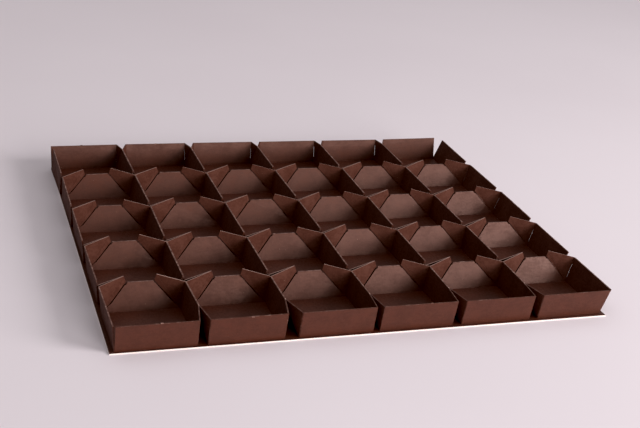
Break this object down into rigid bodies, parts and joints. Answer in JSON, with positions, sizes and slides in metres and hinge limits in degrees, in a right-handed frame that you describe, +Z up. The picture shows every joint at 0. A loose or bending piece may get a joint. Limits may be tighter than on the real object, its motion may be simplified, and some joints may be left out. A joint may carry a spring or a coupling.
{
  "type": "praline insert tray",
  "caption": "Low dark-brown card insert tray: a pleated sheet forms a grid of open square cells with bevelled dividers, glued on a flat base sheet, to hold pralines apart in a box.",
  "frame": {"origin": "on the surface it lies on, under the middle of the tray's outer box", "axes": "+X across the columns, +Y towards the back row, +Z up"},
  "size_m": [0.2044, 0.1766, 0.013],
  "materials": {
    "base_card": "matt dark-brown card with a pale cut edge",
    "insert_card": "satin dark-brown card, creased and folded"
  },
  "bodies": {
    "root": {"base_sheet": "base_card", "pleated_insert": "insert_card"}
  },
  "joints": []
}
